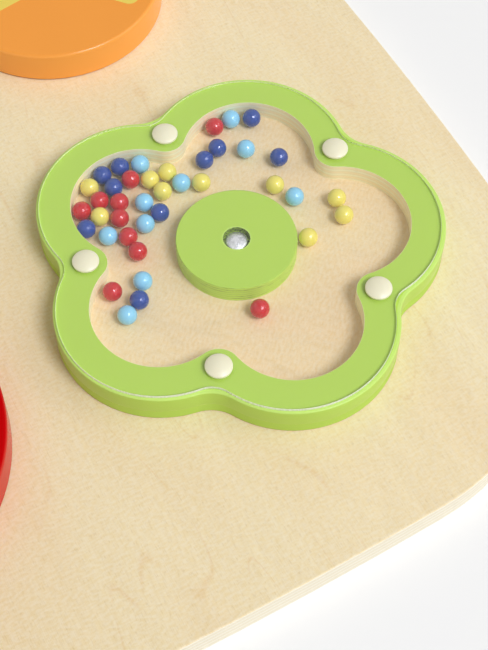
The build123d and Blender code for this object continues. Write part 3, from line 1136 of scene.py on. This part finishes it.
# ---------------------------------------------------------------- the beads
def ball_centres(node):
    """Centres of the balls of a CAD node, found at their highest vertices, and their radius."""
    radius = (top_of("bead_red_left") - bottom_of("bead_red_left")) / 2
    highest = top_of(node)
    tops = []
    for vertex in frame["nodes"][node].data.vertices:
        if vertex.co.z > highest - 0.002 * radius:
            if all((vertex.co - top).length > radius for top in tops):
                tops.append(vertex.co.copy())
    return [top - Vector((0, 0, radius)) for top in tops], radius


class BUSYBOARD_OT_beads(Operator):
    """Make the lacquered beads, one piece for each CAD node"""
    bl_idname = "busy_board.beads"
    bl_label = "Beads"

    def execute(self, context):
        beads = context.scene.busy_board_beads
        tree = ball_tree()
        finishes = {
            name: lacquer(f"{name} lacquer", tuple(getattr(beads, name)), beads.roughness)
            for name in ("red", "sky", "navy", "yellow")
        }
        for body, nodes in frame["record"]["behaviour"]["bodies"].items():
            for node in nodes:
                if not node.startswith(("bead_", "pile_beads_")):
                    continue
                colour = next(name for name in finishes if f"_{name}" in node)
                centres, radius = ball_centres(node)
                dots = bpy.data.meshes.new(node + "_dots")
                dots.from_pydata(centres, [], [])
                balls = grown(tree, node + "_lacquered", {
                    "Points": linked(bpy.data.objects.new(node + "_dots", dots)),
                    "Radius": radius,
                    "Segments": beads.segments,
                    "Finish": finishes[colour],
                })
                fitted(balls, body, colour + "_bead", node)
        return {"FINISHED"}


# ---------------------------------------------------------------- stage
class BUSYBOARD_OT_stage(Operator):
    """Set the floor, the soft lights and the camera"""
    bl_idname = "busy_board.stage"
    bl_label = "Stage"

    def execute(self, context):
        stage = context.scene.busy_board_stage
        self.floor(tuple(stage.floor))
        self.surround(context.scene, stage.sky_level, tuple(stage.floor))
        cool, white = (0.968, 1.0, 1.12), (1.0, 1.0, 1.0)
        self.lamp("key", (0.20, -0.56, 0.80), stage.key_level, cool, width=3.3)
        self.lamp("side_fill", (0.80, -0.42, 0.70), stage.fill_level, white, width=5.0)
        self.camera(context.scene)
        context.scene.view_settings.view_transform = "Standard"
        return {"FINISHED"}

    def floor(self, colour):
        half, level = 2.2, -0.1 * MM
        corners = [(-half, -half), (half, -half), (half, half), (-half, half)]
        mesh = bpy.data.meshes.new("floor")
        mesh.from_pydata([(x, y, level) for x, y in corners], [], [(0, 1, 2, 3)])
        floor = linked(bpy.data.objects.new("floor", mesh))
        material, tree, surface = new_material("pale floor")
        values = {"Base Color": (*colour, 1), "Roughness": 0.9, "Specular IOR Level": 0.0}
        wire(tree, surface, values)
        mesh.materials.append(material)

    def surround(self, scene, level, background):
        """Even light from all round; seen directly or in a mirror it is the background.

        A mirror that looks up sees a ceiling without lamps, so flat faces keep their colour."""
        world = bpy.data.worlds.new("surround")
        world.use_nodes = True
        tree = world.node_tree
        tree.nodes.clear()
        path = add(tree, "ShaderNodeLightPath").outputs
        direct = calculate(tree, "MAXIMUM", path["Is Camera Ray"], path["Is Transmission Ray"])
        seen = calculate(tree, "MAXIMUM", direct, path["Is Glossy Ray"])
        ceiling = spread(tree, part_of(tree, own_place(tree, "Generated"), "Z"), 0.3, 0.7)
        ceiling = times(tree, ceiling, minus(tree, 1.0, direct))
        ceiling_grey = (0.28, 0.29, 0.30)
        room = mixed(tree, ceiling, background, ceiling_grey)
        warm_light = (1.04, 1.0, 0.86, 1)
        light = {"Color": warm_light, "Strength": level}
        light = out(tree, "ShaderNodeBackground", light)
        back = out(tree, "ShaderNodeBackground", {"Color": room, "Strength": 1.0})
        both = out(tree, "ShaderNodeMixShader", {0: seen, 1: light, 2: back})
        add(tree, "ShaderNodeOutputWorld", {"Surface": both})
        scene.world = world

    def lamp(self, name, direction, level, colour, width):
        """A round soft lamp that lights a level surface with the given share of full light."""
        distance = 8.0
        towards = Vector(direction).normalized()
        data = bpy.data.lights.new(name, "AREA")
        data.shape = "DISK"
        data.color = colour
        data.size = width
        data.energy = level * math.pi ** 2 * distance ** 2 / towards.z
        lamp = linked(bpy.data.objects.new(name, data))
        lamp.location = middle("board_panel") + towards * distance
        lamp.rotation_euler = towards.to_track_quat("Z", "Y").to_euler()

    def camera(self, scene):
        place = Vector((-73.75, -369.56, 501.23)) * MM
        heading, dip, roll = math.radians(61.26), math.radians(57.51), math.radians(0.39)
        level = polar(math.cos(dip), heading)
        forward = Vector((level.real, level.imag, -math.sin(dip)))
        level_right = forward.cross(Vector((0, 0, 1))).normalized()
        level_up = level_right.cross(forward)
        right = level_right * math.cos(roll) + level_up * math.sin(roll)
        turn = Matrix((right, right.cross(forward), -forward)).transposed().to_4x4()
        data = bpy.data.cameras.new("camera")
        data.sensor_fit = "VERTICAL"
        data.sensor_height = 36.0
        data.lens = 79.25
        data.clip_start = 0.01
        camera = linked(bpy.data.objects.new("camera", data))
        camera.matrix_world = Matrix.Translation(place) @ turn
        scene.camera = camera


class BUSYBOARD_PT_pieces(Panel):
    bl_label = "Busy Board"
    bl_space_type = "VIEW_3D"
    bl_region_type = "UI"
    bl_category = "Busy Board"

    def draw(self, context):
        for operator in MAKERS:
            self.layout.operator(operator.bl_idname)
        for name in SETTINGS:
            box = self.layout.box()
            settings = getattr(context.scene, name)
            for key in settings.__annotations__:
                box.prop(settings, key)


SETTINGS = {
    "busy_board_wood": WoodSettings,
    "busy_board_wheel": WheelSettings,
    "busy_board_paint": PaintSettings,
    "busy_board_beads": BeadSettings,
    "busy_board_fittings": FittingSettings,
    "busy_board_stage": StageSettings,
}
MAKERS = (
    BUSYBOARD_OT_board,
    BUSYBOARD_OT_wheel,
    BUSYBOARD_OT_window,
    BUSYBOARD_OT_caps,
    BUSYBOARD_OT_fittings,
    BUSYBOARD_OT_discs,
    BUSYBOARD_OT_beads,
    BUSYBOARD_OT_stage,
)


def register():
    for cls in (*SETTINGS.values(), *MAKERS, BUSYBOARD_PT_pieces):
        bpy.utils.register_class(cls)
    for name, cls in SETTINGS.items():
        setattr(bpy.types.Scene, name, PointerProperty(type=cls))


def unregister():
    for name in SETTINGS:
        delattr(bpy.types.Scene, name)
    for cls in reversed((*SETTINGS.values(), *MAKERS, BUSYBOARD_PT_pieces)):
        bpy.utils.unregister_class(cls)


def main():
    register()
    bpy.ops.busy_board.board()
    bpy.ops.busy_board.wheel()
    bpy.ops.busy_board.window()
    bpy.ops.busy_board.caps()
    bpy.ops.busy_board.fittings()
    bpy.ops.busy_board.discs()
    bpy.ops.busy_board.beads()
    bpy.ops.busy_board.stage()


if __name__ == "__main__":
    main()
